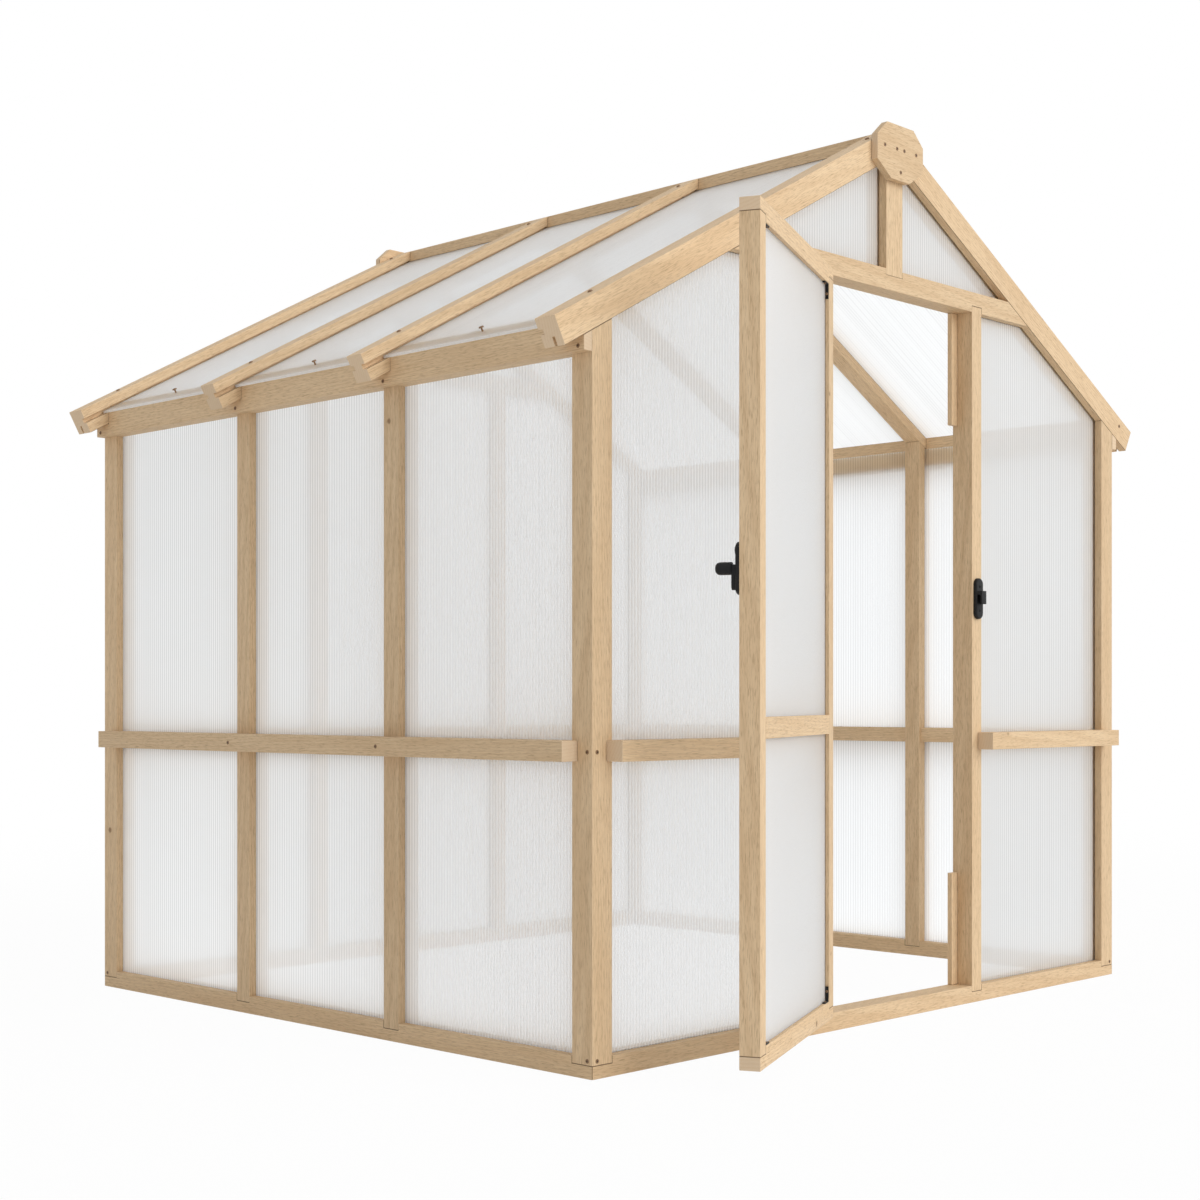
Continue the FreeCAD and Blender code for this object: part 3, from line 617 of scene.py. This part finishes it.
# Roof sheets: the same plastic with its ribs running down the slope, slid into the rafters'
# grooves and the ridge board's slots, and resting on the eave beams.
roof_ribs = 2.6
roof_milkiness = 0.5
dress_sheets("roof_sheets_left", along_y, up_left_slope, roof_ribs, "frame", roof_milkiness)
dress_sheets("roof_sheets_right", along_y, up_right_slope, roof_ribs, "frame", roof_milkiness)

# Door sheets: two sheets of the same plastic in the door's grooves, above and below its rail.
# They swing with the door.
door_ribs = 0.10
door_milkiness = 1.0
dress_sheets("door_sheets", along_door, upright, door_ribs, "door", door_milkiness)


# Hinges: two black powder-coated butt hinges, their leaves screwed to the face of the door post
# and of the door. The pins stay in the post's leaves.
def black_powder_coat():
    """Black powder coat on steel: fine orange peel and a little dust in patches."""
    finish = Finish("black_powder_coat")
    spot = finish.node("TexCoord", output="Object")
    peel = finish.noise(spot, scale=1400.0, detail=2.0)
    dust = finish.noise(spot, scale=60.0, detail=3.0)
    black = (0.0075, 0.0075, 0.0080, 1.0)
    dusty = (0.020, 0.0195, 0.019, 1.0)
    sockets = {
        "Base Color": finish.blend(finish.step(dust, 0.45, 0.80) * 0.6, black, dusty),
        "Roughness": 0.40 + peel * 0.14 + dust * 0.08,
        "Normal": finish.bump(peel, 0.25, 0.0003),
        "Specular IOR Level": 0.25,
    }
    return finish.show(finish.node("BsdfPrincipled", sockets=sockets))


powder_coat = black_powder_coat()


def dress_hardware(node, body, rounding):
    """Round the edges of a piece of black hardware and let it stand for the CAD node."""
    shell = merged_copy(node)
    ease_edges(shell, math.radians(20), rounding, segments=3)
    for face in shell.faces:
        face.smooth = True
    mesh = bpy.data.meshes.new(node + "_coated")
    shell.to_mesh(mesh)
    shell.free()
    mesh.set_sharp_from_angle(angle=math.radians(32))
    mesh.materials.append(powder_coat)
    piece = bpy.data.objects.new(node + "_coated", mesh)
    bpy.context.scene.collection.objects.link(piece)
    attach(piece, body)
    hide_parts(node)


stamped_edge = 0.0004
dress_hardware("hinge_post_leaves", "frame", stamped_edge)
dress_hardware("hinge_door_leaves", "door", stamped_edge)
dress_hardware("hinge_pins", "frame", stamped_edge)

# Door brackets: four black steel angles in the inner corners of the door's frame, on the ledge
# in front of the sheets.
dress_hardware("door_corner_brackets", "door", stamped_edge)

# Latch: a black cast plate with round ends and a screw boss on the door's outer face, a round
# knob with an arm that turns in it, and a keeper with a hooked catch on the post.
cast_edge = 0.0010
dress_hardware("latch_plate", "door", cast_edge)
dress_hardware("latch_knob", "latch", cast_edge)
dress_hardware("latch_keeper", "frame", cast_edge)


# Frame screws: brown-coated flat heads sunk in the timbers at the corners, the eaves, the rails,
# the rafter ends and the gable plates, each with a round socket pressed into it.
def brown_screw_coat():
    """Brown coat on steel, rubbed a little by the bit, with painted shade down in the socket."""
    finish = Finish("brown_screw_coat")
    socket = finish.attribute("in_socket")
    spot = finish.node("TexCoord", output="Object")
    rubbed = finish.noise(spot, scale=700.0, detail=2.0)
    brown = (0.300, 0.172, 0.084, 1.0)
    dull = (0.215, 0.120, 0.058, 1.0)
    socket_shade = (0.070, 0.040, 0.022, 1.0)
    colour = finish.blend(finish.step(rubbed, 0.35, 0.70), brown, dull)
    sockets = {
        # Painted shade: the faces of the sunk socket are dark brown, as if in shade.
        "Base Color": finish.blend(socket, colour, socket_shade),
        "Roughness": 0.42 + rubbed * 0.20,
        "Normal": finish.bump(rubbed, 0.15, 0.0002),
    }
    return finish.show(finish.node("BsdfPrincipled", sockets=sockets))


screw_coat = brown_screw_coat()


def screw_tree():
    """Geometry Nodes: at every point a screw's stem and head with a sunk socket, facing outwards."""
    sizes = ("Head Radius", "Crown Radius", "Head Height", "Stem Radius", "Stem Height", "Socket Share")
    growth = Growth("screws", sizes, from_places=True)
    given = growth.given
    socket_depth_share = 0.7
    crown_limit = 0.95

    def lifted(geometry, height):
        sockets = {"Geometry": geometry, "Translation": growth.vector(z=height)}
        return growth.node("GeometryNodeTransform", None, sockets)[0]

    stem = growth.node("GeometryNodeMeshCylinder", {"fill_type": "NGON"}, {
        "Vertices": 10, "Radius": given["Stem Radius"], "Depth": given["Stem Height"],
    })["Mesh"]
    head = growth.node("GeometryNodeMeshCone", {"fill_type": "NGON"}, {
        "Vertices": 14, "Radius Top": given["Crown Radius"], "Radius Bottom": given["Head Radius"],
        "Depth": given["Head Height"],
    })["Mesh"]
    normal = growth.node("GeometryNodeInputNormal")[0]
    facing_up = growth.node("ShaderNodeSeparateXYZ", None, {0: normal})["Z"]
    crown = growth.node("FunctionNodeCompare", {"data_type": "FLOAT", "operation": "GREATER_THAN"}, {
        0: facing_up, 1: crown_limit,
    })[0]
    inset = growth.node("GeometryNodeExtrudeMesh", {"mode": "FACES"}, {
        "Mesh": head, "Selection": crown, "Offset Scale": 0.0, "Individual": False,
    })
    narrowed = growth.node("GeometryNodeScaleElements", {"domain": "FACE"}, {
        "Geometry": inset["Mesh"], "Selection": inset["Top"], "Scale": given["Socket Share"],
    })[0]
    sunk = growth.node("GeometryNodeExtrudeMesh", {"mode": "FACES"}, {
        "Mesh": narrowed, "Selection": inset["Top"], "Individual": False,
        "Offset Scale": growth.maths("MULTIPLY", given["Head Height"], -socket_depth_share),
    })
    # The faces of the sunk socket, marked for the painted shade in the screw's finish.
    socket_shade = growth.node("FunctionNodeBooleanMath", {"operation": "OR"}, {
        0: sunk["Top"], 1: sunk["Side"],
    })[0]
    socketed = growth.marked(sunk["Mesh"], "in_socket", "FACE", socket_shade)
    half_stem = growth.maths("MULTIPLY", given["Stem Height"], 0.5)
    whole = growth.joined(lifted(stem, half_stem), lifted(socketed, given["Stem Height"]))
    facing = growth.node("GeometryNodeInputNamedAttribute", {"data_type": "FLOAT_VECTOR"}, {
        "Name": "facing",
    })["Attribute"]
    turned = growth.node("FunctionNodeAlignRotationToVector", {"axis": "Z"}, {"Vector": facing})[0]
    return growth.finished(growth.node("GeometryNodeInstanceOnPoints", None, {
        "Points": given["Places"], "Instance": whole, "Rotation": turned,
    })[0])


driven_screws = screw_tree()


def drive_screws(name, places, sizes, coat, body="frame"):
    """Screws at (point, facing) places, as one plain mesh on a body."""
    mesh = grown(driven_screws, dict(sizes, Material=coat), places)
    mesh.name = name
    piece = bpy.data.objects.new(name, mesh)
    bpy.context.scene.collection.objects.link(piece)
    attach(piece, body)


flat_head = {
    "Head Radius": 0.0047, "Crown Radius": 0.0042, "Head Height": 0.0007,
    "Stem Radius": 0.0022, "Stem Height": 0.0001, "Socket Share": 0.48,
}
left_and_right = (("left", -1), ("right", 1))
front_and_back = (("front", -1), ("back", 1))
frame_screws = []
corner_inset = 0.014
foot_screw_drop = 0.006
rail_screw_drop = 0.002
for end_name, end_way in front_and_back:
    for side_name, side_way in left_and_right:
        low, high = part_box("corner_post_" + end_name + "_" + side_name)
        outer_x = low.x if side_way < 0 else high.x
        outer_y = low.y if end_way < 0 else high.y
        rail_low, rail_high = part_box("mid_rails_" + side_name)
        base_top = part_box("base_rail_" + side_name)[1].z
        inset_x = outer_x - side_way * corner_inset
        inset_y = outer_y - end_way * corner_inset
        rail_middle = (rail_low.z + rail_high.z) / 2
        for level in (base_top - foot_screw_drop, rail_middle - rail_screw_drop):
            frame_screws.append(((inset_x, outer_y, level), (0, end_way, 0)))
            frame_screws.append(((outer_x, inset_y, level), (side_way, 0, 0)))

eave_rise = 0.010
post_half = 0.025
beam_end_inset = 0.017
for side_name, side_way in left_and_right:
    low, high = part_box("eave_beam_" + side_name)
    post_low, post_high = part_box("side_posts_" + side_name)
    rail_low, rail_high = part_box("outer_rail_" + side_name)
    beam_x = low.x if side_way < 0 else high.x
    rail_x = rail_low.x if side_way < 0 else rail_high.x
    rail_middle = (rail_low.z + rail_high.z) / 2
    side_post_lines = (post_low.y + post_half, post_high.y - post_half)
    for line in (low.y + beam_end_inset, *side_post_lines, high.y - beam_end_inset):
        frame_screws.append(((beam_x, line, low.z + eave_rise), (side_way, 0, 0)))
    for line in side_post_lines:
        frame_screws.append(((rail_x, line, rail_middle), (side_way, 0, 0)))

plate_screws = ((-0.063, 0.0568), (-0.0146, 0.0568), (0.0146, 0.0568), (0.063, 0.0568), (0.0, 0.1102))
rafter_screw_rise = 0.0646
rafter_screw_inset = 0.066
for end_name, end_way in front_and_back:
    low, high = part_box("gable_plate_" + end_name)
    face_y = low.y if end_way < 0 else high.y
    for out, drop in plate_screws:
        frame_screws.append(((out, face_y, high.z - drop), (0, end_way, 0)))
    low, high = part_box("rafter_" + end_name + "_right")
    face_y = low.y if end_way < 0 else high.y
    rafter_end = (high.x - rafter_screw_inset, face_y, low.z + rafter_screw_rise)
    frame_screws.append((rafter_end, (0, end_way, 0)))
drive_screws("frame_screws", frame_screws, flat_head, screw_coat)

# Rafter screws: brown pan heads that hold each rafter down, one over the eave beam and one beside
# the ridge, standing a little proud of the rafter's top.
pan_head = {
    "Head Radius": 0.0056, "Crown Radius": 0.0042, "Head Height": 0.0030,
    "Stem Radius": 0.0022, "Stem Height": 0.0002, "Socket Share": 0.48,
}
rafter_screws = []
mid_rafter_half = 0.025
screw_beside_ridge = 0.070
screw_over_eave = 1.000
for side_name, side_way in left_and_right:
    out_of_slope = Vector((side_way * math.sin(roof_pitch), 0, math.cos(roof_pitch)))
    low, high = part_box("rafter_front_" + side_name)
    ridge_side = low.x if side_way > 0 else high.x
    mid_low, mid_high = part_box("mid_rafters_" + side_name)
    back_low, back_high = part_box("rafter_back_" + side_name)
    mid_lines = (mid_low.y + mid_rafter_half, mid_high.y - mid_rafter_half)
    lines = ((low.y + high.y) / 2, *mid_lines, (back_low.y + back_high.y) / 2)
    for out in (screw_beside_ridge, screw_over_eave):
        top = high.z - (out - abs(ridge_side)) * math.tan(roof_pitch)
        for line in lines:
            rafter_screws.append(((side_way * out, line, top), out_of_slope))
drive_screws("rafter_screws", rafter_screws, pan_head, screw_coat)

# Roof sheet screws: one to each roof sheet, driven through it into the eave beam below. Each has
# a broad brown head that stands on its stem above the sheet, so that the sheet can move.
standing_head = {
    "Head Radius": 0.0058, "Crown Radius": 0.0050, "Head Height": 0.0030,
    "Stem Radius": 0.0021, "Stem Height": 0.0080, "Socket Share": 0.40,
}
sheet_screws = []
beam_inset = 0.028
above_roof = 3.0
for side_name, side_way in left_and_right:
    out_of_slope = Vector((side_way * math.sin(roof_pitch), 0, math.cos(roof_pitch)))
    beam_low, beam_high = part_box("eave_beam_" + side_name)
    over_beam = beam_low.x + beam_inset if side_way < 0 else beam_high.x - beam_inset
    front_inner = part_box("rafter_front_" + side_name)[1].y
    mid_low, mid_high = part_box("mid_rafters_" + side_name)
    back_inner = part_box("rafter_back_" + side_name)[0].y
    bays = ((front_inner + mid_low.y) / 2, (mid_low.y + mid_high.y) / 2, (mid_high.y + back_inner) / 2)
    for bay in bays:
        above = Vector((over_beam, bay, above_roof))
        on_sheet = surfaces["roof_sheets_" + side_name].ray_cast(above, Vector((0, 0, -1)))[0]
        sheet_screws.append((on_sheet, out_of_slope))
drive_screws("roof_sheet_screws", sheet_screws, standing_head, screw_coat)

# Fitting screws: small black pan heads in the hinge leaves and in the latch's keeper, and small
# brown ones in the door's brackets. Those in the door's own leaves and brackets swing with it.
black_pan = {
    "Head Radius": 0.0040, "Crown Radius": 0.0030, "Head Height": 0.0012,
    "Stem Radius": 0.0020, "Stem Height": 0.0001, "Socket Share": 0.50,
}
brown_pan = dict(black_pan, **{"Head Radius": 0.0029, "Crown Radius": 0.0022})


def on_face(node, spot, outwards):
    """The place and facing of a screw in a piece's own face, under a spot in front of it."""
    place = surfaces[node].ray_cast(Vector(spot), -outwards)[0]
    return place, outwards


front_ways = Vector((0, -1, 0))
door_outwards = Vector((math.sin(door_open_angle), -math.cos(door_open_angle), 0))
pin_to_screw = 0.019
hinge_screw_rise = 0.016
in_front = 0.1
post_fittings = []
door_fittings = []
low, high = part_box("hinge_post_leaves")
pin_low, pin_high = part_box("hinge_pins")
pin = (pin_low + pin_high) / 2
half_leaf = 0.030
for hinge_level in (low.z + half_leaf, high.z - half_leaf):
    for level in (hinge_level - hinge_screw_rise, hinge_level + hinge_screw_rise):
        at_pin = Vector((pin.x, pin.y, level))
        on_post = at_pin + Vector((-pin_to_screw, 0, 0)) + front_ways * in_front
        post_fittings.append(on_face("hinge_post_leaves", on_post, front_ways))
        on_door = at_pin + Vector(along_door) * pin_to_screw + door_outwards * in_front
        door_fittings.append(on_face("hinge_door_leaves", on_door, door_outwards))
low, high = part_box("latch_keeper")
keeper_screw_rise = 0.030
keeper_level = (low.z + high.z) / 2
for level in (keeper_level - keeper_screw_rise, keeper_level + keeper_screw_rise):
    spot = Vector(((low.x + high.x) / 2, low.y, level)) + front_ways * in_front
    post_fittings.append(on_face("latch_keeper", spot, front_ways))
drive_screws("post_fitting_screws", post_fittings, black_pan, powder_coat)
drive_screws("door_fitting_screws", door_fittings, black_pan, powder_coat, "door")

bracket_screws = []
bracket_shell = merged_copy("door_corner_brackets")
low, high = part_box("door_corner_brackets")
door_middle = (low + high) / 2
past_middle = 0.006
for group in islands(bracket_shell):
    spans = [[vertex.co[axis] for vertex in group] for axis in range(3)]
    middle = Vector([(min(span) + max(span)) / 2 for span in spans])
    to_middle = door_middle - middle
    sideways = Vector(along_door) * math.copysign(1.0, to_middle.dot(Vector(along_door)))
    upwards = Vector((0, 0, math.copysign(1.0, to_middle.z)))
    bracket_screws.append(on_face("door_corner_brackets", middle + upwards * past_middle, sideways))
    bracket_screws.append(on_face("door_corner_brackets", middle + sideways * past_middle, upwards))
bracket_shell.free()
drive_screws("door_bracket_screws", bracket_screws, brown_pan, screw_coat, "door")

# Floor, light and camera: a white studio sweep with one broad soft light from the front right,
# seen from a little above the middle rail off the left front corner.
white = (1.0, 1.0, 1.0, 1.0)


def seen_directly(finish):
    """1 for a ray from the camera, or one that gloss or clear skins alone have passed on."""
    seen = finish.node("LightPath", output="Is Camera Ray")
    for ray_kind in ("Is Glossy Ray", "Is Transmission Ray"):
        seen = seen.maths("MAXIMUM", finish.node("LightPath", output=ray_kind))
    scattered = finish.node("LightPath", output="Diffuse Depth").maths("MINIMUM", 1.0)
    return seen * (1.0 - scattered)


def white_floor():
    """Matt white that the camera sees as white, with a faint shadow near the house."""
    finish = Finish("white_floor")
    dull_white = (0.89, 0.89, 0.89, 1.0)
    clean_white = (0.91, 0.91, 0.91, 1.0)
    shadow_share = 0.04
    shadow_from = 2.5
    shadow_to = 8.0
    spot = finish.node("TexCoord", output="Object")
    matt = finish.blend(finish.noise(spot, scale=0.8), dull_white, clean_white)
    lit = finish.node("BsdfPrincipled", sockets={"Base Color": matt, "Roughness": 0.9})
    bright = finish.node("Emission", sockets={"Color": white, "Strength": 1.0})
    away = finish.node("VectorMath", {"operation": "LENGTH"}, {0: spot}, output="Value")
    bare = 1.0 - shadow_share + shadow_share * finish.step(away, shadow_from, shadow_to)
    share = seen_directly(finish) * bare
    return finish.show(finish.node("MixShader", sockets={0: share, 1: lit, 2: bright}))


floor_half = 60.0
floor_mesh = bpy.data.meshes.new("floor")
floor_corners = [(x * floor_half, y * floor_half, 0.0) for x, y in ((-1, -1), (1, -1), (1, 1), (-1, 1))]
floor_mesh.from_pydata(floor_corners, [], [(0, 1, 2, 3)])
floor_mesh.materials.append(white_floor())
floor = bpy.data.objects.new("floor", floor_mesh)
bpy.context.scene.collection.objects.link(floor)

studio = bpy.data.worlds.new("studio")
bpy.context.scene.world = studio
sweep = Finish("studio", studio)
sky = sweep.node("Background", sockets={"Color": white, "Strength": 0.54})
backdrop = sweep.node("Background", sockets={"Color": white, "Strength": 1.0})
sweep.show(sweep.node("MixShader", sockets={0: seen_directly(sweep), 1: sky, 2: backdrop}))

soft_light = bpy.data.lights.new("front_light", "SUN")
soft_light.energy = 1.57
soft_light.angle = math.radians(50)
light_from = Vector((0.25, -0.85, 0.46))
light_distance = 6.0
light_holder = bpy.data.objects.new("front_light", soft_light)
light_holder.location = light_from * light_distance
light_holder.rotation_euler = light_from.to_track_quat("Z", "Y").to_euler()
bpy.context.scene.collection.objects.link(light_holder)

camera_data = bpy.data.cameras.new("camera")
camera_data.sensor_width = 36.0
camera_data.lens = 57.097
camera_data.shift_y = 0.0839
camera_data.clip_end = 200.0
camera = bpy.data.objects.new("camera", camera_data)
camera.location = (-3.71844, -2.66467, 0.75234)
camera.rotation_euler = (math.radians(90.0), 0.0, math.radians(-45.87))
bpy.context.scene.collection.objects.link(camera)
bpy.context.scene.camera = camera
bpy.context.scene.view_settings.view_transform = "Standard"
